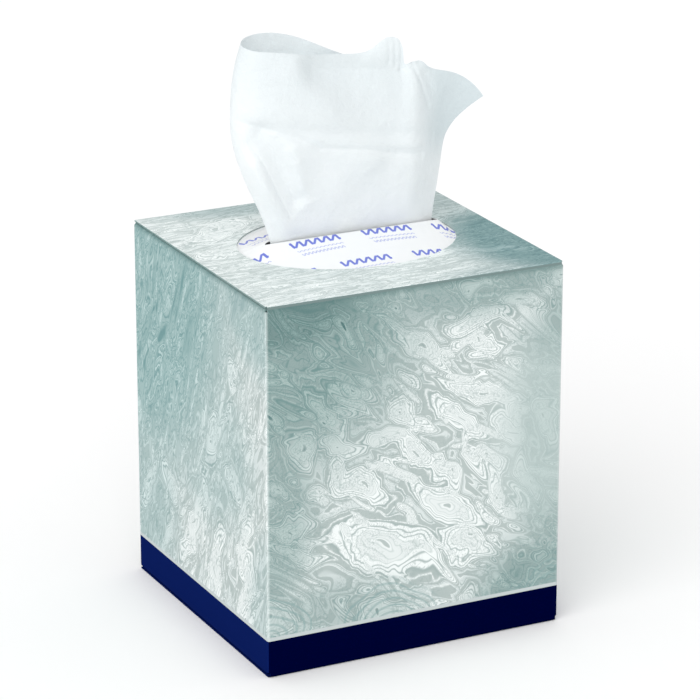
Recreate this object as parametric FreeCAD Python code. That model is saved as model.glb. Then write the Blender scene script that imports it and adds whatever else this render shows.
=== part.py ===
import FreeCAD, Part
import math
import os

from FreeCAD import Vector

# Upright tissue box: a glued paperboard carton with an oval opening, a slit plastic
# window under it, a bent clip of tissues inside and one tissue pulled up through the slit.
# Millimetres. X runs along the broad front face, Y runs back, Z is up.
# The origin is the middle of the base.

# Carton
WIDTH = 111.0
DEPTH = 108.0
HEIGHT = 131.0
BOARD = 0.5
FOLD_INSIDE_RADIUS = 0.3
EDGE_INSET = 0.3
GLUE_FLAP = 14.0
DUST_FLAP = 34.0
FLAP_CLEARANCE = 0.4

# Oval opening in the top
OVAL_LENGTH = 78.0
OVAL_WIDTH = 62.5
OVAL_CENTRE_X = 0.8

# Slit window
FILM = 0.15
FILM_MARGIN = 6.5
FILM_CLEARANCE = 1.0
SLIT_LENGTH = 66.0
SLIT_GAP = 8.4
SLIT_CENTRE_X = 2.8
TENT_RISE = 4.6
TENT_END_RISE = 3.0
TENT_SAG = 0.45
TENT_INSET = 1.0
FILM_FACETS = 48

# Clip of tissues, bent over into an arch
CLIP_END_GAP = 4.0
CLIP_SIDE_GAP = 1.0
CLIP_HEADROOM = 12.0

# Pulled sheet
SHEET = 0.3
STANDING_HEIGHT = 70.0
GATHER_LENGTH = 71.0
GATHER_GAP = 8.0
TAIL_INSET = 3.5
TAIL_SPREAD = 1.2
TAIL_SEAT = 0.7
LAYER_GAP = 1.2
SURFACE_DEGREE = 3
SHEET_FACETS_ROUND = 54
SHEET_FACETS_UP = 26
LOOP_HALF_DEPTH = 5.0

# The tail's sections over the clip: share of its length, and lift off the clip as a share
# of the layers' gap
TAIL_ROWS = [(1.0, 0.0), (0.55, 0.0), (0.18, 1.0)]

# Sections of the pulled sheet's loop, from the flag at the front right round by the left fold
# to the free back edge. X and Y are shares of half the gathers' length and gap. The rim's third
# value is its height above the slit, as a share of the standing height.
SLIT_LINE = [
    (0.92, 0.12), (0.85, -0.15), (0.77, -0.40), (0.63, -0.55), (0.56, -0.55), (0.50, -0.55),
    (0.44, -0.55), (0.38, -0.55), (0.32, -0.55), (0.24, -0.55), (0.15, -0.55), (-0.05, -0.55),
    (-0.25, -0.55), (-0.45, -0.50), (-0.61, -0.36), (-0.76, -0.22), (-0.82, 0.00), (-0.76, 0.22),
    (-0.56, 0.42), (-0.25, 0.55), (0.09, 0.55), (0.46, 0.50), (0.79, 0.32),
]
LOWER_BELLY = [
    (1.01, 0.45), (0.91, -0.10), (0.78, -0.80), (0.64, -1.38), (0.57, -1.38), (0.51, -1.38),
    (0.45, -1.38), (0.38, -1.38), (0.31, -1.38), (0.22, -1.38), (0.12, -1.38), (-0.08, -1.50),
    (-0.28, -1.38), (-0.50, -1.25), (-0.75, -1.50), (-0.97, -1.10), (-1.05, 0.00), (-0.96, 1.10),
    (-0.73, 1.40), (-0.36, 1.50), (0.03, 1.38), (0.43, 1.25), (0.78, 0.85),
]
UPPER_BELLY = [
    (1.09, 1.00), (0.96, 0.25), (0.81, -1.00), (0.64, -1.75), (0.57, -1.75), (0.51, -1.75),
    (0.45, -1.75), (0.38, -1.75), (0.30, -1.75), (0.20, -1.75), (0.09, -1.75), (-0.16, -2.00),
    (-0.39, -2.38), (-0.64, -2.62), (-0.95, -2.38), (-1.21, -1.75), (-1.29, 0.00), (-1.21, 1.75),
    (-0.87, 2.12), (-0.45, 2.00), (0.01, 1.75), (0.40, 1.50), (0.77, 1.25),
]
SHOULDER = [
    (1.16, 1.25), (1.02, 0.62), (0.82, -0.88), (0.67, -1.62), (0.62, -1.55), (0.57, -1.48),
    (0.53, -1.35), (0.47, -1.20), (0.39, -1.08), (0.27, -1.00), (0.12, -1.00), (-0.16, -1.38),
    (-0.42, -2.00), (-0.64, -2.38), (-0.91, -2.38), (-1.14, -1.75), (-1.22, 0.00), (-1.14, 1.75),
    (-0.81, 2.12), (-0.42, 2.00), (-0.02, 1.50), (0.34, 1.25), (0.71, 1.12),
]
RIM = [
    (1.53, 0.88, 0.564), (1.34, 0.75, 0.699), (0.90, -0.10, 0.742), (0.80, -0.75, 0.797),
    (0.73, -1.05, 0.816), (0.62, -1.08, 0.803), (0.575, -1.00, 0.792), (0.57, -0.72, 0.880),
    (0.53, -0.50, 0.935), (0.42, -0.40, 0.948), (0.33, -0.30, 0.925), (0.20, -0.25, 0.868),
    (-0.10, -0.40, 0.888), (-0.47, -1.38, 0.916), (-0.78, -2.12, 0.961), (-1.04, -1.88, 0.967),
    (-1.14, 0.00, 0.981), (-1.01, 1.62, 1.001), (-0.70, 2.12, 1.007), (-0.33, 1.88, 0.949),
    (-0.05, 0.88, 0.870), (0.32, 0.75, 0.806), (0.68, 0.75, 0.727),
]

# The height of each section between the slit and the rim, as a share of the rim's own
SECTION_SHARES = [(SLIT_LINE, 0.0), (LOWER_BELLY, 0.25), (UPPER_BELLY, 0.55), (SHOULDER, 0.82)]

# Folds in the front of the loop: both ends as X and height in the shares above, then the
# half width and the depth towards the front as shares of the standing height
FRONT_FOLDS = [
    ((-0.64, 0.87), (0.15, 0.36), 0.100, 0.031),
    ((-0.42, 0.84), (0.54, 0.78), 0.071, -0.034),
    ((-1.09, 0.40), (-0.70, 0.04), 0.057, 0.034),
    ((-0.98, 0.56), (-0.59, 0.21), 0.057, -0.031),
    ((-0.70, 0.47), (-0.50, 0.18), 0.043, 0.017),
    ((-1.15, 0.61), (0.77, 0.44), 0.036, -0.010),
    ((0.74, 0.80), (0.94, 0.61), 0.029, -0.023),
]

MIDDLE = Vector(0, 0, 0)
FOLD_RADIUS = FOLD_INSIDE_RADIUS + BOARD
OVAL_CENTRE = Vector(OVAL_CENTRE_X, 0, 0)
INNER_FLAPS_TOP = HEIGHT - BOARD
DUST_TOP = HEIGHT - 2 * BOARD
DUST_BASE = 2 * BOARD
FLOOR = 3 * BOARD
FILM_TOP = INNER_FLAPS_TOP
SLIT_LEVEL = FILM_TOP + TENT_RISE
CLIP_RADIUS = WIDTH / 2 - BOARD - CLIP_SIDE_GAP
CREST = HEIGHT - FLOOR - CLIP_HEADROOM
ARCH_CENTRE = CREST - CLIP_RADIUS
CLIP_DEPTH = DEPTH - 2 * BOARD - 2 * CLIP_END_GAP
TAIL_LENGTH = CLIP_DEPTH / 2 - TAIL_INSET


def inner_path(points, board):
    """The far side of a folded board: its outer path set in by the board's thickness."""
    normals = []
    for start, end in zip(points, points[1:]):
        along = (end - start).normalize()
        normals.append(Vector(-along.y, along.x, 0))
    inner = [points[0] + normals[0] * board]
    for corner, before, after in zip(points[1:], normals, normals[1:]):
        inner.append(corner + (before + after) * (board / (1 + before.dot(after))))
    inner.append(points[-1] + normals[-1] * board)
    return inner


def folded_edges(points, radius):
    """Lines along a path, with each of its corners rounded to the radius."""
    edges = []
    start = points[0]
    for before, corner, after in zip(points, points[1:], points[2:]):
        back = (before - corner).normalize()
        ahead = (after - corner).normalize()
        half_angle = back.getAngle(ahead) / 2
        reach = radius / math.tan(half_angle)
        bisector = (back + ahead).normalize()
        middle = corner + bisector * (radius / math.sin(half_angle) - radius)
        edges.append(Part.makeLine(start, corner + back * reach))
        edges.append(Part.Arc(corner + back * reach, middle, corner + ahead * reach).toShape())
        start = corner + ahead * reach
    edges.append(Part.makeLine(start, points[-1]))
    return edges


def folded_board(points, length):
    """Board folded along a path of (x, y) points, with its thickness to their left."""
    outer = [Vector(x, y, 0) for x, y in points]
    inner = inner_path(outer, BOARD)
    edges = folded_edges(outer, FOLD_RADIUS)
    edges.append(Part.makeLine(outer[-1], inner[-1]))
    edges.extend(reversed(folded_edges(inner, FOLD_INSIDE_RADIUS)))
    edges.append(Part.makeLine(inner[0], outer[0]))
    section = Part.Face(Part.Wire(Part.__sortEdges__(edges)))
    return section.extrude(Vector(0, 0, length))


def upright(shape, length, turn):
    """Stand a folded strip up so that its path lies in a vertical plane, then turn it about Z."""
    shape.translate(Vector(0, 0, -length / 2))
    shape.rotate(MIDDLE, Vector(1, 0, 0), 90)
    shape.rotate(MIDDLE, Vector(0, 0, 1), turn)
    return shape


def panel_with_flaps(half_span, length, level, reach, turn):
    """One wall with the flaps at its foot and head, on the given number of boards' depth."""
    low = level * BOARD
    high = HEIGHT - level * BOARD
    inward = half_span - reach
    path = [(inward, low), (half_span, low), (half_span, high), (inward, high)]
    return upright(folded_board(path, length), length, turn)


def sleeve():
    """The four walls as one bent strip, closed by its glue flap inside the back wall."""
    half_width = WIDTH / 2
    half_depth = DEPTH / 2
    under_back = half_depth - BOARD
    path = [
        (-half_width + EDGE_INSET, half_depth),
        (half_width, half_depth),
        (half_width, -half_depth),
        (-half_width, -half_depth),
        (-half_width, under_back),
        (-half_width + GLUE_FLAP, under_back),
    ]
    # the board lies to the left of its path, so the walls are followed anticlockwise
    strip = folded_board([(x, y) for x, y in reversed(path)], HEIGHT - 2 * (DUST_BASE + FOLD_RADIUS))
    strip.translate(Vector(0, 0, DUST_BASE + FOLD_RADIUS))
    return strip


def oval_prism(extra, low, high):
    """Upright prism on the opening's oval, widened all round by the extra."""
    oval = Part.Ellipse(MIDDLE, OVAL_LENGTH / 2 + extra, OVAL_WIDTH / 2 + extra)
    prism = Part.Face(Part.Wire(oval.toShape())).extrude(Vector(0, 0, high - low))
    prism.translate(OVAL_CENTRE + Vector(0, 0, low))
    return prism


def outer_flap(z):
    """The flap that shows, wider than its fold by the corners' rounding."""
    width = WIDTH - 2 * EDGE_INSET
    front = FOLD_RADIUS - DEPTH / 2
    back = DEPTH / 2 - EDGE_INSET
    return Part.makeBox(width, back - front, BOARD, Vector(-width / 2, front, z))


def carton():
    """The whole folded and glued paperboard, as one solid."""
    half_width = WIDTH / 2
    half_depth = DEPTH / 2
    straight_x = WIDTH - 2 * FOLD_RADIUS
    straight_y = DEPTH - 2 * FOLD_RADIUS
    over_depth = DEPTH - BOARD - FLAP_CLEARANCE
    panels = [
        sleeve(),
        panel_with_flaps(half_depth, straight_x, 0, DEPTH - EDGE_INSET, 270),
        panel_with_flaps(half_depth, straight_x, 1, over_depth, 90),
        panel_with_flaps(half_width, straight_y, 2, DUST_FLAP, 0),
        panel_with_flaps(half_width, straight_y, 2, DUST_FLAP, 180),
        outer_flap(0),
        outer_flap(HEIGHT - BOARD),
    ]
    shell = panels[0].multiFuse(panels[1:])
    window_clearance = oval_prism(FILM_MARGIN + FILM_CLEARANCE, DUST_TOP - BOARD, INNER_FLAPS_TOP)
    shell = shell.cut(window_clearance)
    shell = shell.cut(oval_prism(0, INNER_FLAPS_TOP, HEIGHT))
    return shell.removeSplitter()


def facets(rows, closed):
    """Two flat triangles for each cell of a grid of points."""
    faces = []
    cells = len(rows[0]) if closed else len(rows[0]) - 1
    for low, high in zip(rows, rows[1:]):
        for index in range(cells):
            after = (index + 1) % len(low)
            faces.append(triangle(low[index], low[after], high[after]))
            faces.append(triangle(low[index], high[after], high[index]))
    return faces


def triangle(a, b, c):
    """Flat face on three corners."""
    return Part.Face(Part.makePolygon([a, b, c, a]))


def thin_solid(front, back, closed=False):
    """Solid between two facing grids of points. A closed grid's rows run right round."""
    faces = facets(front, closed) + facets(back, closed)
    for end in (0, -1):
        faces.extend(facets([front[end], back[end]], closed))
    if not closed:
        for side in (0, -1):
            faces.extend(facets([[row[side] for row in grid] for grid in (front, back)], False))
    solid = Part.Solid(Part.makeShell(faces))
    if solid.Volume < 0:
        solid.reverse()
    return solid


def film_ring(centre_x, half_length, half_width, end_rise, middle_rise):
    """Points round the window at one distance from the slit, higher beside it than at its ends."""
    ring = []
    for index in range(FILM_FACETS):
        turn = 2 * math.pi * index / FILM_FACETS
        across = math.sin(turn)
        z = FILM_TOP + end_rise + (middle_rise - end_rise) * abs(across)
        ring.append(Vector(centre_x + half_length * math.cos(turn), half_width * across, z))
    return ring


def film_window():
    """The plastic window: a glued margin, and a tent that the tissue holds up along the slit."""
    half_length = OVAL_LENGTH / 2
    half_width = OVAL_WIDTH / 2
    slit_length = SLIT_LENGTH / 2
    slit_width = SLIT_GAP / 2
    top = [
        film_ring(OVAL_CENTRE_X, half_length + FILM_MARGIN, half_width + FILM_MARGIN, 0, 0),
        film_ring(OVAL_CENTRE_X, half_length - TENT_INSET, half_width - TENT_INSET, 0, 0),
        film_ring(
            (OVAL_CENTRE_X + SLIT_CENTRE_X) / 2,
            (half_length + slit_length) / 2,
            (half_width + slit_width) / 2,
            TENT_END_RISE * TENT_SAG,
            TENT_RISE * TENT_SAG,
        ),
        film_ring(SLIT_CENTRE_X, slit_length, slit_width, TENT_END_RISE, TENT_RISE),
    ]
    down = Vector(0, 0, -FILM)
    return thin_solid(top, [[point + down for point in ring] for ring in top], closed=True)


def tissue_clip():
    """The interleaved tissues, bent over the middle so that both ends stand on the base."""
    left_foot = Vector(-CLIP_RADIUS, 0, FLOOR)
    left_spring = Vector(-CLIP_RADIUS, 0, ARCH_CENTRE)
    right_spring = Vector(CLIP_RADIUS, 0, ARCH_CENTRE)
    right_foot = Vector(CLIP_RADIUS, 0, FLOOR)
    outline = [
        Part.makeLine(left_foot, left_spring),
        Part.Arc(left_spring, Vector(0, 0, CREST), right_spring).toShape(),
        Part.makeLine(right_spring, right_foot),
        Part.makeLine(right_foot, left_foot),
    ]
    clip = Part.Face(Part.Wire(outline)).extrude(Vector(0, CLIP_DEPTH, 0))
    clip.translate(Vector(0, -CLIP_DEPTH / 2, 0))
    return clip


def arch_height(x):
    """Height of the clip's rounded top at a distance from the middle."""
    return ARCH_CENTRE + math.sqrt(CLIP_RADIUS ** 2 - x ** 2)


def end_knots(count):
    """Evenly spaced knots, and how often each is repeated, for a cubic curve that reaches its end poles."""
    knots = list(range(count - SURFACE_DEGREE + 1))
    repeats = [1] * len(knots)
    repeats[0] = repeats[-1] = SURFACE_DEGREE + 1
    return knots, repeats


def smooth_surface(rows):
    """Cubic surface drawn by a grid of poles."""
    up_knots, up_repeats = end_knots(len(rows))
    round_knots, round_repeats = end_knots(len(rows[0]))
    surface = Part.BSplineSurface()
    surface.buildFromPolesMultsKnots(
        rows,
        up_repeats,
        round_repeats,
        up_knots,
        round_knots,
        False,
        False,
        SURFACE_DEGREE,
        SURFACE_DEGREE,
    )
    return surface


def fold_end(x_share, height_share):
    """One end of a fold line, on the plane through the slit."""
    return gather_point(x_share, 0, SLIT_LEVEL + height_share * STANDING_HEIGHT)


def fold_depth(point):
    """How far the folds push a point of the loop's front forward."""
    depth = 0.0
    spot = Vector(point.x, 0, point.z)
    for start_shares, end_shares, half_width, height in FRONT_FOLDS:
        start = fold_end(*start_shares)
        along = fold_end(*end_shares) - start
        share = min(max((spot - start).dot(along) / along.dot(along), 0.0), 1.0)
        away = spot.distanceToPoint(start + along * share) / STANDING_HEIGHT
        depth += height * STANDING_HEIGHT * math.exp(-((away / half_width) ** 2))
    return depth


def sheet_point(surface, up, turn, inset):
    """Point of the folded sheet, set in from its outer face by the inset."""
    normal = surface.normal(up, turn)
    point = surface.value(up, turn) + normal * inset
    facing = max(-point.y / LOOP_HALF_DEPTH, 0.0)
    return point - Vector(0, min(facing, 1.0) * fold_depth(point), 0)


def sheet_solid(surface):
    """Flat-faceted sheet on a surface, its thickness set in towards the inside of the loop."""
    up_start, up_end, round_start, round_end = surface.bounds()
    outer = []
    inner = []
    for row in range(SHEET_FACETS_UP + 1):
        up = up_start + (up_end - up_start) * row / SHEET_FACETS_UP
        turns = [
            round_start + (round_end - round_start) * column / SHEET_FACETS_ROUND
            for column in range(SHEET_FACETS_ROUND + 1)
        ]
        outer.append([sheet_point(surface, up, turn, 0) for turn in turns])
        inner.append([sheet_point(surface, up, turn, SHEET) for turn in turns])
    return thin_solid(outer, inner)


def gather_point(x_share, y_share, z):
    """Point placed by its shares of half the gathers' length and gap."""
    return Vector(OVAL_CENTRE_X + x_share * GATHER_LENGTH / 2, y_share * GATHER_GAP / 2, z)


def tail_row(share, lift):
    """The sheet folded back over the clip's top, its two layers one above the other."""
    row = []
    deepest = max(y for x, y in SLIT_LINE)
    for x_share, y_share in SLIT_LINE:
        x = TAIL_SPREAD * gather_point(x_share, y_share, 0).x
        layer = TAIL_SEAT + LAYER_GAP * (1 + y_share / deepest) / 2
        row.append(Vector(x, share * TAIL_LENGTH, arch_height(x) + layer + lift * LAYER_GAP))
    return row


def neck_row():
    """The sheet's section halfway between the clip and the slit."""
    return [gather_point(x, y, (CREST + SLIT_LEVEL) / 2) for x, y in SLIT_LINE]


def standing_row(line, share):
    """The sheet's section at a share of its height between the slit and its own rim."""
    row = []
    for (x, y), (rim_x, rim_y, rim_height) in zip(line, RIM):
        row.append(gather_point(x, y, SLIT_LEVEL + share * rim_height * STANDING_HEIGHT))
    return row


def pulled_tissue():
    """One whole sheet, gathered into a loop that stands up out of the slit."""
    rows = [tail_row(share, lift) for share, lift in TAIL_ROWS]
    rows.append(neck_row())
    rows.extend(standing_row(line, share) for line, share in SECTION_SHARES)
    rows.append([gather_point(x, y, SLIT_LEVEL + height * STANDING_HEIGHT) for x, y, height in RIM])
    return sheet_solid(smooth_surface(rows))


def save(name, shape):
    """Write one node's STEP file."""
    shape.exportStep(f"parts/{name}.step")


os.makedirs("parts", exist_ok=True)
save("carton", carton())
save("film_window", film_window())
save("tissue_clip", tissue_clip())
save("pulled_tissue", pulled_tissue())
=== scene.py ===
import math

import bpy
import numpy as np
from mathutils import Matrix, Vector, noise


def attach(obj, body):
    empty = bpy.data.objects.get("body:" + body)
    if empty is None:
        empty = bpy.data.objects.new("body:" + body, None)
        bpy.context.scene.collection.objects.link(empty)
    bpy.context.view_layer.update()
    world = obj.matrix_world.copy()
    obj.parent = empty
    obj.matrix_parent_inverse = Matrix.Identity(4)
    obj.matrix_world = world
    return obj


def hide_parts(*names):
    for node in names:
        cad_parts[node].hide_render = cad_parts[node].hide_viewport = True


# Looks for the tissue box. The frame's lengths are metres; tables and materials here use
# millimetres, with the same origin and axes.

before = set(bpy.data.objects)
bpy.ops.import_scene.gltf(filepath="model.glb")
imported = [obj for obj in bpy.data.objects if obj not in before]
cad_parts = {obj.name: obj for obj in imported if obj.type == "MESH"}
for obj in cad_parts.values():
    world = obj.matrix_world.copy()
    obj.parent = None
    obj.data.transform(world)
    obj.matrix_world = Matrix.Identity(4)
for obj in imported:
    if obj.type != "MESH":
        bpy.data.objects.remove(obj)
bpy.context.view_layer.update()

MM = 0.001

# Carton, with the band round its foot and the thin line above the band
WIDTH = 111.0
DEPTH = 108.0
HEIGHT = 131.0
BAND_TOP = 13.2
LINE_TOP = 14.5

# Window film and its slit
OVAL_CENTRE_X = 0.8
FILM_TOP = 130.5
SLIT_LEVEL = 135.1

# Clip of tissues under the window, and the pulled sheet's tail folded back over it
CLIP_RADIUS = 54.0
CREST = 117.5
TAIL_LENGTH = 46.0
TAIL_SPREAD = 1.2
TAIL_SEAT = 1.9
LAYER_GAP = 2.4
# The tail's sections over the clip: share of its length, lift off the clip
TAIL_ROWS = [(0.25, 4.9), (0.70, 4.9), (1.15, 4.9), (1.15, 0.0), (0.60, 0.0), (0.18, 1.2)]
SLIT_ROW = len(TAIL_ROWS) + 1

# Pulled sheet: its form in millimetres
STANDING_HEIGHT = 70.0
GATHER_LENGTH = 71.0
GATHER_GAP = 8.0
ROWS_HIDDEN = 56
ROWS_STANDING = 150
COLUMNS = 460
LOOP_HALF_DEPTH = 5.0
PLEATS = 36
PLEAT_HEIGHT = 0.9
PLEATS_END = (119.0, 126.0)
CREASE_ROUND = 0.2
WRINKLE_RISE = 12.0

# Wrinkles of the standing sheet: rate along each axis and start of the noise, then the depth
SWELLS = ((0.09, 0.15, 0.06), (4.0, 0.0, 0.0))
SWELL_DEPTH = 0.5
RIDGES = ((0.22, 0.3, 0.22), (0.0, 0.0, 9.0))
RIDGE_DEPTH = 0.14

# Sections of the loop, from the flag at the front right round by the left fold to the free
# back edge: X and Y as shares of half the gather's length and gap, and for the rim its height
# above the slit as a share of the standing height
SLIT_LINE = [
    (0.92, 0.12), (0.85, -0.15), (0.77, -0.40), (0.63, -0.55), (0.56, -0.55), (0.50, -0.55),
    (0.44, -0.55), (0.38, -0.55), (0.32, -0.55), (0.24, -0.55), (0.15, -0.55), (-0.05, -0.55),
    (-0.25, -0.55), (-0.45, -0.50), (-0.61, -0.36), (-0.76, -0.22), (-0.82, 0.00), (-0.76, 0.22),
    (-0.56, 0.42), (-0.25, 0.55), (0.09, 0.55), (0.46, 0.50), (0.79, 0.32),
]
LOWER_BELLY = [
    (1.01, 0.45), (0.91, -0.10), (0.78, -0.80), (0.64, -1.38), (0.57, -1.38), (0.51, -1.38),
    (0.45, -1.38), (0.38, -1.38), (0.31, -1.38), (0.22, -1.38), (0.12, -1.38), (-0.08, -1.50),
    (-0.28, -1.38), (-0.50, -1.25), (-0.75, -1.50), (-0.97, -1.10), (-1.05, 0.00), (-0.96, 1.10),
    (-0.73, 1.40), (-0.36, 1.50), (0.03, 1.38), (0.43, 1.25), (0.78, 0.85),
]
UPPER_BELLY = [
    (1.09, 1.00), (0.96, 0.25), (0.81, -1.00), (0.64, -1.75), (0.57, -1.75), (0.51, -1.75),
    (0.45, -1.75), (0.38, -1.75), (0.30, -1.75), (0.20, -1.75), (0.09, -1.75), (-0.16, -2.00),
    (-0.39, -2.38), (-0.64, -2.62), (-0.95, -2.38), (-1.21, -1.75), (-1.29, 0.00), (-1.21, 1.75),
    (-0.87, 2.12), (-0.45, 2.00), (0.01, 1.75), (0.40, 1.50), (0.77, 1.25),
]
SHOULDER = [
    (1.16, 1.25), (1.02, 0.62), (0.82, -0.88), (0.67, -1.62), (0.62, -1.55), (0.57, -1.48),
    (0.53, -1.35), (0.47, -1.20), (0.39, -1.08), (0.27, -1.00), (0.12, -1.00), (-0.16, -1.38),
    (-0.42, -2.00), (-0.64, -2.38), (-0.91, -2.38), (-1.14, -1.75), (-1.22, 0.00), (-1.14, 1.75),
    (-0.81, 2.12), (-0.42, 2.00), (-0.02, 1.50), (0.34, 1.25), (0.71, 1.12),
]
RIM = [
    (1.53, 0.88, 0.564), (1.34, 0.75, 0.699), (0.90, -0.10, 0.742), (0.80, -0.75, 0.797),
    (0.73, -1.05, 0.816), (0.62, -1.08, 0.803), (0.575, -1.00, 0.792), (0.57, -0.72, 0.880),
    (0.53, -0.50, 0.935), (0.42, -0.40, 0.948), (0.33, -0.30, 0.925), (0.20, -0.25, 0.868),
    (-0.10, -0.40, 0.888), (-0.47, -1.38, 0.916), (-0.78, -2.12, 0.961), (-1.04, -1.88, 0.967),
    (-1.14, 0.00, 0.981), (-1.01, 1.62, 1.001), (-0.70, 2.12, 1.007), (-0.33, 1.88, 0.949),
    (-0.05, 0.88, 0.870), (0.32, 0.75, 0.806), (0.68, 0.75, 0.727),
]
# Share of the rim's height at which each section lies
SECTION_SHARES = [(SLIT_LINE, 0.0), (LOWER_BELLY, 0.25), (UPPER_BELLY, 0.55), (SHOULDER, 0.82)]

# Folds in the front of the loop: a line of X and height shares, then the half width and
# depth as shares of the standing height
FRONT_FOLDS = [
    ([(-0.64, 0.87), (0.15, 0.36)], 0.100, 0.031),
    ([(-0.42, 0.84), (0.54, 0.78)], 0.071, -0.034),
    ([(-1.09, 0.40), (-0.70, 0.04)], 0.057, 0.034),
    ([(-0.98, 0.56), (-0.59, 0.21)], 0.057, -0.031),
    ([(-0.70, 0.47), (-0.50, 0.18)], 0.043, 0.017),
    ([(-1.15, 0.61), (0.77, 0.44)], 0.036, -0.010),
    ([(0.74, 0.80), (0.94, 0.61)], 0.029, -0.023),
]
# Creases and embossed lines, much narrower, on the same face, with half width and depth in mm
FRONT_CREASES = [
    ([(-1.29, 0.65), (-1.06, 0.61), (-0.85, 0.57), (-0.54, 0.51), (-0.39, 0.46), (-0.12, 0.44),
      (0.14, 0.42), (0.31, 0.39), (0.74, 0.35)], 1.3, -0.75),
    ([(-1.29, 0.63), (-1.06, 0.59), (-0.85, 0.55)], 0.5, 0.25),
    ([(-0.54, 0.535), (-0.40, 0.50)], 0.5, 0.25),
    ([(0.45, 0.39), (0.74, 0.375)], 0.5, -0.25),
    ([(0.45, 0.37), (0.74, 0.33)], 0.5, -0.25),
    ([(-1.12, 0.42), (-0.72, 0.05)], 1.4, 0.6),
    ([(-1.10, 0.52), (-0.95, 0.40), (-0.66, 0.12)], 1.2, -0.7),
    ([(-0.66, 0.40), (-0.55, 0.26)], 1.0, 0.5),
    ([(0.41, 0.95), (0.43, 0.82)], 0.7, -0.8),
    ([(0.47, 0.95), (0.50, 0.80)], 0.8, -1.0),
    ([(0.535, 0.93), (0.56, 0.78)], 0.7, -1.0),
    ([(0.66, 0.80), (0.74, 0.71), (0.84, 0.58)], 1.3, -1.4),
    ([(-0.62, 0.90), (-0.30, 0.82), (0.20, 0.80), (0.56, 0.77)], 1.6, -0.5),
]


def colour(red, green, blue):
    """Linear colour, with alpha, of an 8-bit screen colour."""
    linear = []
    for level in (red / 255, green / 255, blue / 255):
        linear.append(level / 12.92 if level <= 0.04045 else ((level + 0.055) / 1.055) ** 2.4)
    return (*linear, 1.0)


# Silvery shades of the marbling
WHITE = colour(232, 237, 236)
PALE = colour(221, 227, 226)
SILVER = colour(209, 217, 216)
SOFT_LINE = colour(196, 206, 204)
MID_GREY = colour(175, 186, 184)
LINE_GREY = colour(156, 171, 169)
# Greenish shades of the front, the left and the top: ground, light, line and dark
GROUND, LIGHT, LINE, DARK = range(4)
GREY_TEAL = (
    colour(140, 160, 158), colour(160, 180, 177), colour(108, 140, 138), colour(82, 117, 116)
)
CLEAR_TEAL = (
    colour(147, 175, 174), colour(177, 200, 199), colour(98, 140, 141), colour(80, 124, 126)
)
DEEP_TEAL = (
    colour(120, 153, 154), colour(150, 178, 179), colour(84, 126, 129), colour(62, 108, 113)
)
RING_LINE = colour(128, 158, 157)
CALM_GREY = colour(194, 206, 204)
# Multiplied over the front's darkest area, and added to the top where it isn't teal
DEEP_TINT = (0.55, 0.66, 0.66, 1.0)
TOP_LIFT = colour(98, 101, 101)
# Painted shade under the top fold of the walls
UNDER_FOLD_PAINTED_SHADE = colour(84, 116, 114)

# Band, line above it and bare inside of the board, then the upright edges of the top's board:
# those round the opening and inside, and those along the front and back, darker with painted shade
# The band is one navy; the side's copy is painted lighter than the front's, as painted light from the
# left
NAVY_FRONT = colour(0, 3, 45)
NAVY_SIDE_PAINTED_LIGHT = colour(11, 27, 84)
BAND_LINE = colour(190, 198, 198)
BOARD_GREY = colour(196, 198, 194)
CUT_EDGE = colour(168, 178, 177)
FRONT_EDGE_PAINTED_SHADE = colour(116, 134, 133)

# Film and tissue
FILM_WHITE = colour(251, 253, 254)
MOTIF_BLUE = colour(48, 84, 214)
# Tissue: its foot painted whiter as painted light, its upper part darker as painted shade
FOOT_PAINTED_LIGHT = colour(250, 253, 254)
TISSUE_UPPER_PAINTED_SHADE = colour(228, 235, 237)
TISSUE_SHADE = colour(235, 240, 242)
# Painted shade of the pulled sheet's raised corner
CORNER_PAINTED_SHADE = colour(217, 227, 230)
STACK_LINE = colour(205, 212, 214)

# Long drops in the marbling of each face: centre across and up, half length, half width and
# slant in degrees
FRONT_DROPS = [
    (78, 115, 11.1, 4.3, 3), (58, 107, 11.9, 3.0, -35), (81, 89, 17.4, 3.5, -16),
    (72, 80, 13.8, 3.4, -34), (55, 71, 10.4, 4.4, -31), (84, 64, 5.7, 2.7, -27),
    (79, 107, 9.5, 2.5, -5), (8, 123, 9.8, 1.8, -50), (50, 87, 8.6, 3.1, -56),
    (26, 79, 8.7, 3.4, -14), (12, 80, 7.8, 4.0, -88), (31, 97, 7.7, 2.0, -20),
    (22, 91, 11.6, 3.3, -53), (44, 78, 8.6, 3.8, -20), (35, 63, 11.9, 4.4, -29),
    (43, 40, 19.1, 8.3, -23), (68, 50, 14.8, 5.4, -37), (86, 53, 8.5, 3.3, -74),
    (8, 53, 8.1, 2.8, -7), (9, 43, 11.4, 3.1, -16), (5, 64, 6.7, 2.3, -41),
    (112, 4, 11.0, 8.0, -1), (46, 12, 12.0, 8.0, 1), (0, 21, 9.0, 6.5, -11),
    (74, 35, 10.7, 4.1, -28), (94, 120, 10.2, 2.4, -13), (106, 75, 11.3, 3.8, -78),
    (90, 74, 8.8, 2.8, -60), (67, 63, 7.1, 2.8, -61), (76, 69, 7.6, 1.8, -74),
    (27, 70, 5.1, 3.2, -80), (99, 54, 9.5, 3.6, -69),
]
LEFT_DROPS = [
    (49, 36, 22.2, 3.6, -121), (24, 18, 13.0, 2.6, -118), (65, 71, 8.7, 3.4, -111),
    (89, 41, 13.1, 4.0, -110), (80, 61, 7.3, 3.3, -11), (58, 47, 7.1, 2.8, -111),
    (66, 24, 16.3, 4.5, -102), (28, 44, 7.6, 5.2, -42), (92, 26, 13.2, 4.7, -110),
    (10, 37, 14.3, 2.4, -125),
]
TOP_DROPS = [
    (-34, 30, 16.0, 4.5, 35), (-40, 8, 12.0, 3.5, 15), (40, -30, 16.0, 3.0, -20),
    (46, 12, 14.0, 4.0, 30),
]

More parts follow.
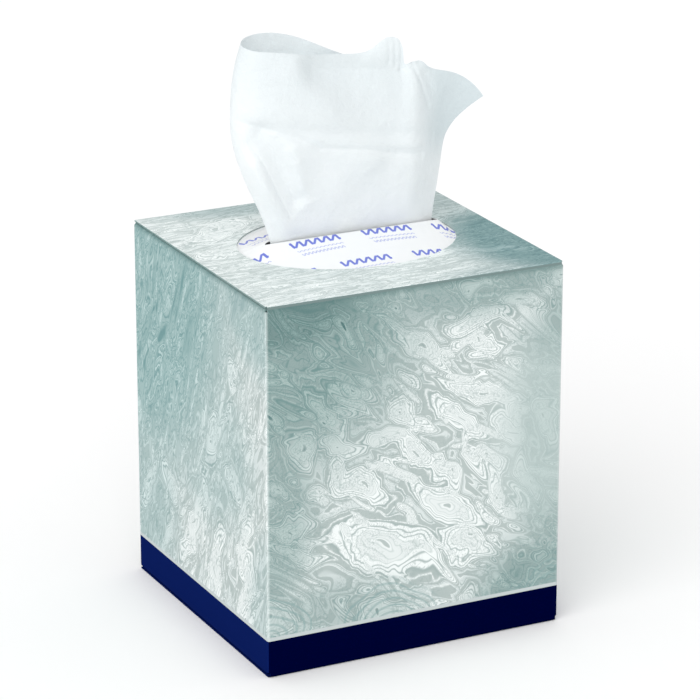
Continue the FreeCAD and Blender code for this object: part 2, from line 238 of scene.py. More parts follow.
# Grain of each face's marbling: seed, slant in degrees, length and width of its loose cells,
# stretch of its finest lines and their strength
FRONT_GRAIN = (3.0, -38.0, 17.0, 7.0, 1.0, 0.5)
LEFT_GRAIN = (17.0, 68.0, 18.0, 5.0, 3.0, 0.6)
TOP_GRAIN = (29.0, 4.0, 22.0, 3.6, 3.0, 0.7)

# Swirls that bend the pattern, as size and reach, slowest first: those of the loose cells in
# cell lengths, the others in mm
CELL_SWIRLS = [(1.7, 1.3), (0.6, 0.28)]
DROP_SWIRLS = [(11.0, 5.0), (4.0, 1.5)]
THREAD_SWIRLS = [(5.0, 2.2), (1.6, 0.7)]
RING_SWIRLS = [(13.0, 3.5)]

# Levels of the marbling: loose cells, with an uneven share and an offset, joined to the drops
CELL_SCALE = 1.15
CELL_SMOOTHNESS = 0.35
UNEVEN_SIZE = 0.6
UNEVEN_SHARE = 0.5
CELL_OFFSET = 0.20
DROP_OUTLINE = 0.38
DROP_JOIN = 0.25
LEVEL_JOIN = 0.03
# Measures of the third axis, which holds a face's seed, or for the drops only their bending
SEED_STRETCH = 10.0
FLAT_STRETCH = 1000.0

# Shade at each level
SILVER_STOPS = [
    (0.00, MID_GREY), (0.035, MID_GREY), (0.05, WHITE), (0.075, PALE), (0.085, SOFT_LINE),
    (0.10, PALE), (0.15, PALE), (0.16, SOFT_LINE), (0.175, PALE), (0.225, PALE),
    (0.235, SOFT_LINE), (0.25, WHITE), (0.285, WHITE), (0.30, LINE_GREY), (0.315, WHITE),
    (0.345, WHITE), (0.36, LINE_GREY), (0.375, WHITE), (0.41, WHITE), (0.425, LINE_GREY),
    (0.445, MID_GREY), (0.46, WHITE), (0.475, MID_GREY),
    (0.53, MID_GREY), (0.54, WHITE), (0.555, LINE_GREY), (0.57, SILVER), (0.62, SILVER),
    (0.635, WHITE), (0.65, MID_GREY), (0.74, MID_GREY), (0.78, SILVER),
]
TEAL_STOPS = [
    (0.00, DARK), (0.035, GROUND), (0.05, LIGHT), (0.115, LIGHT), (0.125, GROUND),
    (0.14, LIGHT), (0.20, LIGHT), (0.21, LINE), (0.225, LIGHT), (0.285, GROUND),
    (0.30, LINE), (0.315, LIGHT), (0.345, LIGHT), (0.36, LINE), (0.38, GROUND),
    (0.42, LINE), (0.445, GROUND), (0.46, LIGHT), (0.475, GROUND), (0.53, GROUND),
    (0.54, LINE), (0.56, LIGHT), (0.62, GROUND), (0.64, LINE), (0.66, GROUND),
    (0.74, GROUND), (0.755, LINE), (0.78, GROUND), (1.00, LINE),
]

# Finest lines: size of their noise, how near its middle they lie, and where they show
THREAD_SIZE = 1.0
THREAD_EDGE = (0.08, 0.02)
THREAD_AREA_SIZE = 9.0
THREAD_AREA_EDGE = (0.25, 0.45)

# Centres of fine rings on the front: across, up, reach and pitch
FRONT_ARCS = [(114.0, -2.0, 32.0, 2.3), (46.0, 6.0, 24.0, 2.6), (2.0, 14.0, 17.0, 2.5)]
RING_EDGE = (0.2, 0.9)
RING_FADE = 0.75
RING_STRENGTH = 0.5

# Soft patches on each face: centre across and up, half sizes, strength. First the teal areas,
# then the front's area with little pattern and its darkest one
PATCH_CORE = 0.45
FRONT_TEAL = [
    (0.0, 131.0, 78.0, 84.0, 1.0),
    (-5.0, 60.0, 32.0, 60.0, 0.8),
    (116.0, 70.0, 32.0, 90.0, 0.8),
    (108.0, 10.0, 42.0, 34.0, 0.95),
    (75.0, 135.0, 70.0, 26.0, 0.8),
    (15.0, 12.0, 60.0, 26.0, 0.6),
]
LEFT_TEAL = [
    (0.0, 131.0, 110.0, 120.0, 1.0),
    (108.0, 131.0, 60.0, 34.0, 0.7),
    (0.0, 40.0, 48.0, 60.0, 0.6),
    (60.0, 70.0, 50.0, 40.0, 0.5),
    (108.0, 20.0, 20.0, 40.0, 0.35),
]
TOP_TEAL = [
    (62.0, -26.0, 44.0, 60.0, 1.0),
    (60.0, 20.0, 40.0, 60.0, 0.45),
    (60.0, -54.0, 60.0, 18.0, 0.5),
    (0.0, 54.0, 60.0, 20.0, 0.5),
]
FRONT_CALM = [(102.0, 72.0, 26.0, 44.0, 0.5)]
FRONT_DEEP = [(6.0, 127.0, 34.0, 15.0, 0.8)]

# Where the carton is printed: depth in from its outside, and further in from the walls within
# this drop of its top and base. The outer top and base are flat within their own skin
PRINT_SKIN = 0.45
TOP_SKIN = 0.2
SEAM_INSET = 1.6
SEAM_DROP = 2.5
# Upright edges of the top's board: how far in from the sides they start, how far they reach
# below the film's top, and how near the front or back those with painted shade lie
CUT_INSET = 0.7
CUT_DROP = 0.5
FRONT_EDGE_DEPTH = 2.0
# Least share of a normal along an axis for a face to count as turned that way
FACING = 0.7
# Painted shade under the top fold: its start and end below the top, and strength
FOLD_SHADE = (3.2, 0.9, 0.55)
# Painted highlight on the upright edges: where it starts and ends, in from the corner, and strength
EDGE_PAINTED_HIGHLIGHT = (1.1, 0.3, 0.35)
BOARD_ROUGHNESS = 0.42
PRINT_GLOSS = 0.12
BARE_GLOSS = 0.0

# Wave motif on the film: pitch along a row and between rows, shift from row to row, a centre
MOTIF_PITCH = 27.1
MOTIF_ROW_PITCH = 18.3
MOTIF_ROW_SHIFT = -10.2
MOTIF_FIRST = (-14.3, -6.0)
MOTIF_SLANT = 0.25
# Strokes: half length, height, pitch and half thickness, the finer two with their place
# below the motif's middle first
WAVE = (9.5, 1.25, 3.4, 0.75)
FINE_WAVES = [(4.4, 8.6, 0.3, 1.5, 0.26), (6.9, 8.0, 0.45, 1.4, 0.36)]
STROKE_CORE = 0.5
MOTIF_INK = 0.85
FINE_INK = 0.5

FILM_ROUGHNESS = 0.22
FILM_GLOSS = 0.25
FILM_RIPPLE = 9.0
FILM_BUMP = 0.25
FILM_THROUGH = 0.12

# Tissue: noise sizes of its crepe, crinkles and swells, share of light let through
CREPE_SCALE = (0.9, 0.9, 2.2)
CREPE_SIZE = 0.55
CREPE_SHARE = 0.5
CRINKLE_SIZE = 2.6
SOFT_SIZE = 7.0
SOFT_SHARE = 0.5
TISSUE_BUMP = 0.5
TISSUE_THROUGH = 0.22
# Painted light and shade by height: the foot is painted whiter and the upper part darker; levels
# between which it changes, and their tilt along X
PAINTED_LIGHT_FADE = (145.0, 205.0)
PAINTED_LIGHT_TILT = 0.3
# Painted shade of the raised corner: where it starts and ends along X and Z
CORNER_ACROSS = (24.0, 38.0)
CORNER_UP = (150.0, 166.0)
# Stacked edges of the clip: turn of their wave in radians per mm, and its part that shows
STACK_TURN = 9.0
STACK_EDGE = (0.6, 1.0)
# Detail of the noise of the film and tissue, and of the crepe
SOFT_DETAIL = 2.0
CREPE_DETAIL = 3.0
# Depth of all bumps, in metres
BUMP_DEPTH = 0.0006

# Studio: floor in metres, its shade, and the even light
FLOOR_SIZE = 8
FLOOR_LEVEL = -0.0001
FLOOR_SHADE = (0.97, 0.97, 0.97, 1)
FULL_WHITE = (1, 1, 1, 1)
AMBIENT = 0.80
# Lamps: strength, spread in degrees, and the direction that the light comes from
LAMPS = {
    "key": (1.15, 60.0, (-0.60, -0.50, 0.62)),
    "front_fill": (0.65, 90.0, (-0.50, -0.85, 0.02)),
}

# Camera fitted to the carton's corners: angles in degrees, distance and target in mm, lens
# and sensor in mm, clip range in metres
CAMERA_TURN = -26.466
CAMERA_RISE = 19.107
CAMERA_DISTANCE = 1274.646
CAMERA_TARGET = (5.1013, 6.3364, 88.4372)
LENS = 188.273
SENSOR = 36.0
CLIP_RANGE = (0.05, 50.0)


class Graph:
    """Node tree of a material or world, with short ways to add to it."""

    def __init__(self, owner):
        self.owner = owner
        owner.use_nodes = True
        self.tree = owner.node_tree
        self.tree.nodes.clear()

    def feed(self, socket, value):
        """Link a socket, or set its number, vector or colour."""
        if isinstance(value, bpy.types.NodeSocket):
            self.tree.links.new(value, socket)
        else:
            socket.default_value = value

    def node(self, kind, inputs, **settings):
        """A node with its settings made and its inputs fed."""
        made = self.tree.nodes.new(kind)
        for key, value in settings.items():
            setattr(made, key, value)
        for key, value in inputs.items():
            self.feed(made.inputs[key], value)
        return made

    def math(self, operation, *values):
        """One number worked out from others."""
        return self.node("ShaderNodeMath", dict(enumerate(values)), operation=operation).outputs[0]

    def vector(self, operation, inputs):
        """Outputs of a vector operation."""
        return self.node("ShaderNodeVectorMath", inputs, operation=operation).outputs

    def length(self, first, second):
        """Length of the diagonal of two numbers."""
        squares = [self.math("POWER", number, 2.0) for number in (first, second)]
        return self.math("SQRT", self.math("ADD", *squares))

    def mix(self, share, first, second, blend="MIX"):
        """Colour mix: the first at share 0, the second at 1."""
        inputs = {0: share, 6: first, 7: second}
        made = self.node("ShaderNodeMix", inputs, data_type="RGBA", blend_type=blend)
        return made.outputs[2]

    def either(self, share, first, second):
        """Shader mix: the first at share 0, the second at 1."""
        return self.node("ShaderNodeMixShader", {0: share, 1: first, 2: second}).outputs[0]

    def smooth(self, value, low, high):
        """0 below low, 1 above high, and smooth between. Low may be the larger."""
        inputs = {"Value": value, "From Min": low, "From Max": high}
        made = self.node("ShaderNodeMapRange", inputs, interpolation_type="SMOOTHSTEP")
        return made.outputs["Result"]

    def noise(self, place, size, detail=0.0):
        """Noise node with features of about this size."""
        return self.node("ShaderNodeTexNoise", {"Vector": place, "Scale": 1 / size, "Detail": detail})

    def bent(self, place, swirls):
        """Places pushed about by slow noise, once for each size and reach."""
        for size, reach in swirls:
            push = self.noise(place, size).outputs["Color"]
            centred = self.vector("SUBTRACT", {0: push, 1: (0.5, 0.5, 0.5)})[0]
            scaled = self.vector("SCALE", {0: centred, "Scale": 2 * reach})[0]
            place = self.vector("ADD", {0: place, 1: scaled})[0]
        return place

    def turned(self, place, scale, slant, centre=(0.0, 0.0)):
        """Place as seen from a centre on the face, turned by degrees and measured by scale."""
        inputs = {
            "Vector": place,
            "Location": (*centre, 0.0),
            "Rotation": (0.0, 0.0, math.radians(slant)),
            "Scale": scale,
        }
        return self.node("ShaderNodeMapping", inputs, vector_type="TEXTURE").outputs[0]

    def ramp(self, value, stops):
        """Colour at a value, from stops of position and colour."""
        made = self.node("ShaderNodeValToRGB", {"Fac": value})
        elements = made.color_ramp.elements
        while len(elements) < len(stops):
            elements.new(0.5)
        for element, (position, shade) in zip(elements, stops):
            element.position = position
            element.color = shade
        return made.outputs["Color"]

    def place(self):
        """Millimetre place on the part: the vector, then X, Y and Z."""
        local = self.node("ShaderNodeTexCoord", {}).outputs["Object"]
        scaled = self.vector("SCALE", {0: local, "Scale": 1 / MM})[0]
        parts = self.node("ShaderNodeSeparateXYZ", {0: scaled})
        return scaled, *parts.outputs

    def flat(self, across, up, seed):
        """A 2-D place on one face, apart from other seeds' noise."""
        return self.node("ShaderNodeCombineXYZ", {0: across, 1: up, 2: seed}).outputs[0]

    def bump(self, height, strength):
        """Normal of a surface with this relief."""
        inputs = {"Height": height, "Strength": strength, "Distance": BUMP_DEPTH}
        return self.node("ShaderNodeBump", inputs).outputs[0]

    def surface(self, shader):
        """Close the material with its shader and return it."""
        self.node("ShaderNodeOutputMaterial", {"Surface": shader})
        return self.owner


def material_graph(name):
    """Empty node tree of a new material."""
    return Graph(bpy.data.materials.new(name))


def drop_level(g, flat, drops):
    """Least distance from the drops' middles, 1 at their own outlines."""
    bent = g.bent(flat, DROP_SWIRLS)
    least = None
    for across, up, long, wide, slant in drops:
        near = g.turned(bent, (long, wide, FLAT_STRETCH), slant, (across, up))
        away = g.vector("LENGTH", {0: near})["Value"]
        least = away if least is None else g.math("SMOOTH_MIN", least, away, DROP_JOIN)
    return least


def arc_lines(g, flat, spots):
    """Thin rings round centres near a face's foot: centre, reach and pitch of each."""
    bent = g.bent(flat, RING_SWIRLS)
    most = 0.0
    for across, up, reach, pitch in spots:
        centred = g.vector("SUBTRACT", {0: bent, 1: (across, up, 0.0)})[0]
        away = g.vector("LENGTH", {0: centred})["Value"]
        wave = g.math("SINE", g.math("MULTIPLY", away, 2 * math.pi / pitch))
        near = g.smooth(away, reach, reach * RING_FADE)
        most = g.math("MAXIMUM", most, g.math("MULTIPLY", g.smooth(wave, *RING_EDGE), near))
    return most


def patches(g, across, up, spots):
    """Greatest of several soft round patches: centre, half size and strength of each."""
    most = 0.0
    for centre_across, centre_up, half_across, half_up, strength in spots:
        along = g.math("DIVIDE", g.math("SUBTRACT", across, centre_across), half_across)
        rise = g.math("DIVIDE", g.math("SUBTRACT", up, centre_up), half_up)
        near = g.smooth(g.length(along, rise), 1.0, PATCH_CORE)
        most = g.math("MAXIMUM", most, g.math("MULTIPLY", near, strength))
    return most


def marbling(g, across, up, grain, drops, teal_share, teals):
    """Marbled paper: nested outlines round long drops, bent by slow swirls."""
    seed, slant, long, short, streak, strength = grain
    flat = g.flat(across, up, seed)
    swirl = g.bent(g.turned(flat, (long, short, SEED_STRETCH), slant), CELL_SWIRLS)
    cells = {"Vector": swirl, "Scale": CELL_SCALE, "Smoothness": CELL_SMOOTHNESS}
    cell = g.node("ShaderNodeTexVoronoi", cells, feature="SMOOTH_F1").outputs["Distance"]
    uneven = g.math("MULTIPLY", g.noise(swirl, UNEVEN_SIZE).outputs["Fac"], UNEVEN_SHARE)
    loose = g.math("SUBTRACT", g.math("ADD", cell, uneven), CELL_OFFSET)
    placed = g.math("MULTIPLY", drop_level(g, g.flat(across, up, 0.0), drops), DROP_OUTLINE)
    level = g.math("SMOOTH_MIN", loose, placed, LEVEL_JOIN)
    silver = g.ramp(level, SILVER_STOPS)
    teal = g.ramp(level, [(position, teals[kind]) for position, kind in TEAL_STOPS])
    paper = g.mix(teal_share, silver, teal)

    fine_place = g.bent(g.turned(flat, (streak, 1.0, 1.0), slant), THREAD_SWIRLS)
    fine = g.noise(fine_place, THREAD_SIZE).outputs["Fac"]
    thread = g.smooth(g.math("ABSOLUTE", g.math("SUBTRACT", fine, 0.5)), *THREAD_EDGE)
    area = g.smooth(g.noise(flat, THREAD_AREA_SIZE).outputs["Fac"], *THREAD_AREA_EDGE)
    drawn = g.math("MULTIPLY", g.math("MULTIPLY", thread, area), strength)
    return g.mix(drawn, paper, g.mix(teal_share, LINE_GREY, teals[LINE]))


def front_paper(g, x, z):
    """Marbling of the front, and of the back in the same way."""
    across = g.math("ADD", x, WIDTH / 2)
    teal = patches(g, across, z, FRONT_TEAL)
    paper = marbling(g, across, z, FRONT_GRAIN, FRONT_DROPS, teal, GREY_TEAL)
    paper = g.mix(patches(g, across, z, FRONT_CALM), paper, CALM_GREY)
    rings = arc_lines(g, g.flat(across, z, 0.0), FRONT_ARCS)
    paper = g.mix(g.math("MULTIPLY", rings, RING_STRENGTH), paper, RING_LINE)
    return g.mix(patches(g, across, z, FRONT_DEEP), paper, DEEP_TINT, "MULTIPLY")


def side_paper(g, y, z):
    """Marbling of the left side, and of the right in the same way."""
    across = g.math("SUBTRACT", DEPTH / 2, y)
    teal = patches(g, across, z, LEFT_TEAL)
    return marbling(g, across, z, LEFT_GRAIN, LEFT_DROPS, teal, CLEAR_TEAL)


def top_paper(g, x, y):
    """Marbling of the top, lighter where it isn't teal."""
    teal = patches(g, x, y, TOP_TEAL)
    paper = marbling(g, x, y, TOP_GRAIN, TOP_DROPS, teal, DEEP_TEAL)
    return g.mix(g.math("SUBTRACT", 1.0, teal), paper, TOP_LIFT, "ADD")


def coated(g, shade, gloss):
    """Smooth coated board of one shade."""
    inputs = {"Base Color": shade, "Roughness": BOARD_ROUGHNESS, "Specular IOR Level": gloss}
    return g.node("ShaderNodeBsdfPrincipled", inputs).outputs[0]


def carton_print():
    """Marbled, coated board with a plain band round its foot."""
    g = material_graph("printed_board_look")
    x, y, z = g.place()[1:]
    normal = g.node("ShaderNodeNewGeometry", {}).outputs["True Normal"]
    facing = g.node("ShaderNodeSeparateXYZ", {0: normal}).outputs
    # How far each place lies outside the carton's faces, so below 0 in the board
    out_x = g.math("SUBTRACT", g.math("ABSOLUTE", x), WIDTH / 2)
    out_y = g.math("SUBTRACT", g.math("ABSOLUTE", y), DEPTH / 2)
    out_z = g.math("SUBTRACT", g.math("ABSOLUTE", g.math("SUBTRACT", z, HEIGHT / 2)), HEIGHT / 2)
    outer = g.math("MAXIMUM", out_x, out_y)
    # Faces that lie flat: the outer top and base are level, and of the rest those at the left
    # and right walls take the side's colour
    lying = g.math("GREATER_THAN", g.math("ABSOLUTE", facing[2]), FACING)
    level = g.math("MULTIPLY", lying, g.math("GREATER_THAN", out_z, -TOP_SKIN))
    wall_top = g.math("SUBTRACT", lying, level)
    wall_top = g.math("MULTIPLY", wall_top, g.math("GREATER_THAN", out_x, out_y))
    sideways = g.math("GREATER_THAN", g.math("ABSOLUTE", facing[0]), FACING)
    side = g.math("MAXIMUM", sideways, wall_top)

    papers = [front_paper(g, x, z), side_paper(g, y, z)]
    top = top_paper(g, x, y)
    # Painted shade under the top fold
    start, end, strength = FOLD_SHADE
    fold_shade = g.math("MULTIPLY", g.smooth(z, HEIGHT - start, HEIGHT - end), strength)
    # Painted highlight whitening the upright edges of the walls
    start, end, strength = EDGE_PAINTED_HIGHLIGHT
    edge_highlight = g.math("MULTIPLY", g.smooth(g.math("ADD", out_x, out_y), -start, -end), strength)
    walls = [
        coated(g, g.mix(edge_highlight, g.mix(fold_shade, paper, UNDER_FOLD_PAINTED_SHADE), WHITE), PRINT_GLOSS)
        for paper in papers
    ]
    marbled = g.either(level, g.either(side, *walls), coated(g, top, PRINT_GLOSS))
    # The side's lighter navy is painted light
    band = g.mix(side, NAVY_FRONT, NAVY_SIDE_PAINTED_LIGHT)
    foot = coated(g, g.mix(g.math("LESS_THAN", z, BAND_TOP), BAND_LINE, band), BARE_GLOSS)
    printed = g.either(g.math("LESS_THAN", z, LINE_TOP), marbled, foot)

    outside = g.math("GREATER_THAN", g.math("MAXIMUM", outer, out_z), -PRINT_SKIN)
    seam = g.math("GREATER_THAN", outer, -SEAM_INSET)
    seam = g.math("MULTIPLY", seam, g.math("GREATER_THAN", out_z, -SEAM_DROP))
    bare = coated(g, BOARD_GREY, BARE_GLOSS)
    whole = g.either(g.math("MAXIMUM", outside, seam), bare, printed)
    cut = g.math("LESS_THAN", out_x, -CUT_INSET)
    cut = g.math("MULTIPLY", cut, g.math("GREATER_THAN", z, FILM_TOP - CUT_DROP))
    cut = g.math("MULTIPLY", cut, g.math("SUBTRACT", 1.0, lying))
    # Board edges near the front and back take painted shade of the front fold and the back's gap
    edge = g.mix(g.math("GREATER_THAN", out_y, -FRONT_EDGE_DEPTH), CUT_EDGE, FRONT_EDGE_PAINTED_SHADE)
    return g.surface(g.either(cut, whole, coated(g, edge, BARE_GLOSS)))


def stroke(g, across, up, half_length, high, pitch, thick):
    """A wavy pen stroke along a cell."""
    turn = g.math("MULTIPLY", across, 2 * math.pi / pitch)
    bend = g.math("MULTIPLY", g.math("SINE", turn), high)
    slope = g.math("MULTIPLY", g.math("COSINE", turn), high * 2 * math.pi / pitch)
    steep = g.math("SQRT", g.math("ADD", g.math("POWER", slope, 2.0), 1.0))
    away = g.math("DIVIDE", g.math("ABSOLUTE", g.math("SUBTRACT", up, bend)), steep)
    line = g.smooth(away, thick, thick * STROKE_CORE)
    return g.math("MULTIPLY", line, g.math("LESS_THAN", g.math("ABSOLUTE", across), half_length))


def motif_place(g, x, y):
    """Place within a motif's own cell, from its middle, in staggered rows."""
    first_x, first_y = MOTIF_FIRST
    above = g.math("SUBTRACT", y, first_y - MOTIF_ROW_PITCH / 2)
    rows_up = g.math("DIVIDE", above, MOTIF_ROW_PITCH)
    row = g.math("FLOOR", rows_up)
    up = g.math("SUBTRACT", g.math("SUBTRACT", rows_up, row), 0.5)
    up = g.math("MULTIPLY", up, MOTIF_ROW_PITCH)
    shifted = g.math("SUBTRACT", x, g.math("MULTIPLY", row, MOTIF_ROW_SHIFT))
    start = g.math("SUBTRACT", shifted, first_x - MOTIF_PITCH / 2)
    across = g.math("SUBTRACT", g.math("FLOORED_MODULO", start, MOTIF_PITCH), MOTIF_PITCH / 2)
    return across, up


def film_print():
    """White plastic film with staggered rows of a small wave motif."""
    g = material_graph("printed_film_look")
    spot, x, y = g.place()[:3]
    across, up = motif_place(g, x, y)
    slanted = g.math("SUBTRACT", across, g.math("MULTIPLY", up, MOTIF_SLANT))
    wave = stroke(g, slanted, up, *WAVE)
    upper, lower = [
        stroke(g, across, g.math("ADD", up, below), *shape) for below, *shape in FINE_WAVES
    ]
    fine = g.math("MULTIPLY", g.math("MAXIMUM", upper, lower), FINE_INK)
    ink = g.math("MULTIPLY", g.math("MAXIMUM", wave, fine), MOTIF_INK)
    shade = g.mix(ink, FILM_WHITE, MOTIF_BLUE)
    inputs = {
        "Base Color": shade,
        "Roughness": FILM_ROUGHNESS,
        "Specular IOR Level": FILM_GLOSS,
        "Normal": g.bump(g.noise(spot, FILM_RIPPLE, SOFT_DETAIL).outputs["Fac"], FILM_BUMP),
    }
    plastic = g.node("ShaderNodeBsdfPrincipled", inputs).outputs[0]
    through = g.node("ShaderNodeBsdfTranslucent", {"Color": shade}).outputs[0]
    return g.surface(g.either(FILM_THROUGH, plastic, through))


def tissue_look(name, layered):
    """Soft white tissue with a fine crepe, painted lighter low and darker high; the clip's stacked
    edges show as fine lines.
    """
    g = material_graph(name)
    spot, x, _, z = g.place()
    crepe_place = g.node("ShaderNodeMapping", {"Vector": spot, "Scale": CREPE_SCALE}).outputs[0]
    crepe = g.noise(crepe_place, CREPE_SIZE, CREPE_DETAIL).outputs["Fac"]
    soft = g.noise(spot, SOFT_SIZE, SOFT_DETAIL).outputs["Fac"]
    # Painted light at the foot and painted shade higher up, by height tilted along X
    tilted = g.math("ADD", z, g.math("MULTIPLY", x, PAINTED_LIGHT_TILT))
    painted_light_by_height = g.mix(g.smooth(tilted, *PAINTED_LIGHT_FADE), FOOT_PAINTED_LIGHT, TISSUE_UPPER_PAINTED_SHADE)
    shade = g.mix(g.math("MULTIPLY", soft, SOFT_SHARE), painted_light_by_height, TISSUE_SHADE)
    if layered:
        over = g.math("MAXIMUM", g.math("SUBTRACT", z, CREST - CLIP_RADIUS), 0.0)
        lines = g.math("SINE", g.math("MULTIPLY", g.length(x, over), STACK_TURN))
        shade = g.mix(g.smooth(lines, *STACK_EDGE), shade, STACK_LINE)
    else:
        # Painted shade over the raised corner
        corner = g.math("MULTIPLY", g.smooth(x, *CORNER_ACROSS), g.smooth(z, *CORNER_UP))
        shade = g.mix(corner, shade, CORNER_PAINTED_SHADE)
    crinkle = g.noise(spot, CRINKLE_SIZE, SOFT_DETAIL).outputs["Fac"]
    relief = g.math("ADD", g.math("MULTIPLY", crepe, CREPE_SHARE), crinkle)
    inputs = {"Color": shade, "Normal": g.bump(g.math("ADD", relief, soft), TISSUE_BUMP)}
    diffuse = g.node("ShaderNodeBsdfDiffuse", inputs).outputs[0]
    through = g.node("ShaderNodeBsdfTranslucent", inputs).outputs[0]
    return g.surface(g.either(TISSUE_THROUGH, diffuse, through))


def basis(count, shares):
    """Cubic curve's weights of its poles, which it reaches at both ends."""
    spans = count - 3
    knots = np.concatenate([[0] * 3, np.arange(spans + 1), [spans] * 3]).astype(float)
    at = np.clip(np.asarray(shares) * spans, 0, spans - 1e-9)
    weights = [((at >= a) & (at < b)).astype(float) for a, b in zip(knots, knots[1:])]
    for degree in (1, 2, 3):
        raised = []
        for index in range(len(weights) - 1):
            start, end = knots[index], knots[index + degree + 1]
            rise_span = knots[index + degree] - start
            fall_span = end - knots[index + 1]
            rise = (at - start) / rise_span * weights[index] if rise_span else 0 * at
            fall = (end - at) / fall_span * weights[index + 1] if fall_span else 0 * at
            raised.append(rise + fall)
        weights = raised
    return np.array(weights).T


def gather_point(x_share, y_share, z):
    """Point placed by its shares of half the gather's length and gap."""
    return (OVAL_CENTRE_X + x_share * GATHER_LENGTH / 2, y_share * GATHER_GAP / 2, z)


def tail_row(share, lift):
    """The sheet folded back over the clip, its two layers one above the other."""
    deepest = max(y for x, y in SLIT_LINE)
    row = []
    for x_share, y_share in SLIT_LINE:
        x = TAIL_SPREAD * gather_point(x_share, 0, 0)[0]
        top = CREST - CLIP_RADIUS + math.sqrt(CLIP_RADIUS ** 2 - x ** 2)
        layer = TAIL_SEAT + LAYER_GAP * (1 + y_share / deepest) / 2
        row.append((x, share * TAIL_LENGTH, top + layer + lift))
    return row


def poles():
    """All sections of the sheet, from the end of its tail to its rim."""
    rows = [tail_row(share, lift) for share, lift in TAIL_ROWS]
    rows.append([gather_point(x, y, (CREST + SLIT_LEVEL) / 2) for x, y in SLIT_LINE])
    for line, share in SECTION_SHARES:
        rows.append([
            gather_point(x, y, SLIT_LEVEL + share * rim[2] * STANDING_HEIGHT)
            for (x, y), rim in zip(line, RIM)
        ])
    rows.append([gather_point(x, y, SLIT_LEVEL + height * STANDING_HEIGHT) for x, y, height in RIM])
    return np.array(rows)


def line_distance(points, line):
    """Distance of each X and Z from a line of X and height shares."""
    ends = [gather_point(x, 0, SLIT_LEVEL + up * STANDING_HEIGHT) for x, up in line]
    ends = np.array(ends)[:, [0, 2]]
    nearest = np.full(len(points), np.inf)
    for start, end in zip(ends, ends[1:]):
        along = end - start
        share = np.clip((points - start) @ along / (along @ along), 0, 1)
        away = np.linalg.norm(points - start - share[:, None] * along, axis=1)
        nearest = np.minimum(nearest, away)
    return nearest


def folded(points):
    """Push the front of the loop forward along its folds and creases."""
    flat = points[:, [0, 2]]
    depth = np.zeros(len(points))
    for line, half_width, height in FRONT_FOLDS:
        away = line_distance(flat, line) / STANDING_HEIGHT
        depth += height * STANDING_HEIGHT * np.exp(-((away / half_width) ** 2))
    for line, half_width, height in FRONT_CREASES:
        away = np.sqrt(line_distance(flat, line) ** 2 + CREASE_ROUND ** 2) - CREASE_ROUND
        depth += height * np.exp(-away / half_width)
    facing = np.clip(-points[:, 1] / LOOP_HALF_DEPTH, 0, 1)
    moved = points.copy()
    moved[:, 1] -= facing * depth
    return moved


def normals(points):
    """Outward direction at each point of a grid."""
    across = np.cross(np.gradient(points, axis=1), np.gradient(points, axis=0))
    return across / np.maximum(np.linalg.norm(across, axis=2), 1e-9)[:, :, None]


def gathered(points):
    """Fine pleats where the sheet is hidden, fading out under the slit."""
    around = np.linspace(0, 2 * math.pi * PLEATS, points.shape[1])
    start, end = PLEATS_END
    hidden = np.clip((end - points[:, :, 2]) / (end - start), 0, 1)
    return points + normals(points) * (PLEAT_HEIGHT * hidden * np.sin(around))[:, :, None]


def soft_noise(point, rates, starts):
    """Smooth noise at a point, about -1 to 1."""
    return noise.noise(Vector([at * rate + start for at, rate, start in zip(point, rates, starts)]))


def wrinkled(points):
    """Small uneven creases all over the part that stands up."""
    standing = np.clip((points[:, :, 2] - SLIT_LEVEL) / WRINKLE_RISE, 0, 1)
    push = np.array([
        SWELL_DEPTH * soft_noise(point, *SWELLS)
        + RIDGE_DEPTH * (0.5 - abs(soft_noise(point, *RIDGES)))
        for point in points.reshape(-1, 3)
    ]).reshape(points.shape[:2])
    return points + normals(points) * (push * standing)[:, :, None]


def pulled_sheet():
    """The sheet as one fine mesh on the same sections as the solid that it stands for."""
    grid = poles()
    slit_share = (SLIT_ROW - 1) / (len(grid) - 3)
    hidden = np.linspace(0, slit_share, ROWS_HIDDEN, endpoint=False)
    up = np.concatenate([hidden, np.linspace(slit_share, 1, ROWS_STANDING)])
    around = np.linspace(0, 1, COLUMNS)
    points = np.einsum("ui,ijk,vj->uvk", basis(len(grid), up), grid, basis(len(grid[0]), around))
    shape = points.shape
    points = wrinkled(gathered(folded(points.reshape(-1, 3)).reshape(shape))).reshape(-1, 3)
    corner = (np.arange(shape[0] - 1)[:, None] * COLUMNS + np.arange(COLUMNS - 1)).ravel()
    faces = np.stack([corner, corner + COLUMNS, corner + COLUMNS + 1, corner + 1], axis=1)
    mesh = bpy.data.meshes.new("tissue_sheet")
    mesh.from_pydata((points * MM).tolist(), [], faces.tolist())
    mesh.shade_smooth()
    made = bpy.data.objects.new("tissue_sheet", mesh)
    bpy.context.scene.collection.objects.link(made)
    mesh.materials.append(tissue_look("tissue_look", False))
    return made


def dress(node, material):
    """Give every face of a carried-over node the one material."""
    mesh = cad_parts[node].data
    mesh.materials.clear()
    mesh.materials.append(material)


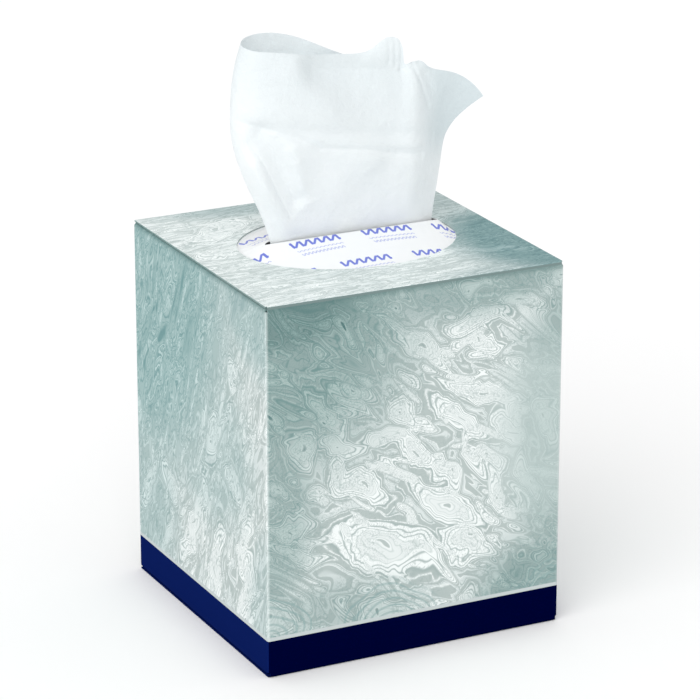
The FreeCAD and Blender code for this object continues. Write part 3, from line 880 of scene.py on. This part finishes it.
def aimed(name, data, direction):
    """New object in the scene that looks back from this direction."""
    made = bpy.data.objects.new(name, data)
    bpy.context.scene.collection.objects.link(made)
    made.rotation_mode = "QUATERNION"
    made.rotation_quaternion = direction.to_track_quat("Z", "Y")
    return made


def studio():
    """Pale floor, even light from all round and two wide lamps from the front left."""
    bpy.ops.mesh.primitive_plane_add(size=FLOOR_SIZE, location=(0, 0, FLOOR_LEVEL))
    floor = bpy.context.object
    floor.name = "floor"
    g = material_graph("floor_look")
    diffuse = g.node("ShaderNodeBsdfDiffuse", {"Color": FLOOR_SHADE}).outputs[0]
    floor.data.materials.append(g.surface(diffuse))
    # The camera sees plain white, everything else is lit by the even light
    world = bpy.data.worlds.new("studio")
    bpy.context.scene.world = world
    g = Graph(world)
    even, seen = [
        g.node("ShaderNodeBackground", {"Color": FULL_WHITE, "Strength": strength}).outputs[0]
        for strength in (AMBIENT, 1.0)
    ]
    from_camera = g.node("ShaderNodeLightPath", {}).outputs["Is Camera Ray"]
    g.node("ShaderNodeOutputWorld", {"Surface": g.either(from_camera, even, seen)})
    for name, (strength, spread, source) in LAMPS.items():
        sun = bpy.data.lights.new(name, "SUN")
        sun.energy = strength
        sun.angle = math.radians(spread)
        aimed(name, sun, Vector(source))


def camera():
    """Camera at the photo's angle."""
    data = bpy.data.cameras.new("camera")
    data.lens = LENS
    data.sensor_width = SENSOR
    data.clip_start, data.clip_end = CLIP_RANGE
    turn = math.radians(CAMERA_TURN)
    rise = math.radians(CAMERA_RISE)
    back = Vector((math.sin(turn) * math.cos(rise), -math.cos(turn) * math.cos(rise), math.sin(rise)))
    seat = aimed("camera", data, back)
    seat.location = (Vector(CAMERA_TARGET) + back * CAMERA_DISTANCE) * MM
    bpy.context.scene.camera = seat


bpy.context.scene.view_settings.view_transform = "Standard"
dress("carton", carton_print())
dress("film_window", film_print())
dress("tissue_clip", tissue_look("tissue_clip_look", True))
sheet = pulled_sheet()
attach(sheet, "root")
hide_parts("pulled_tissue")
studio()
camera()
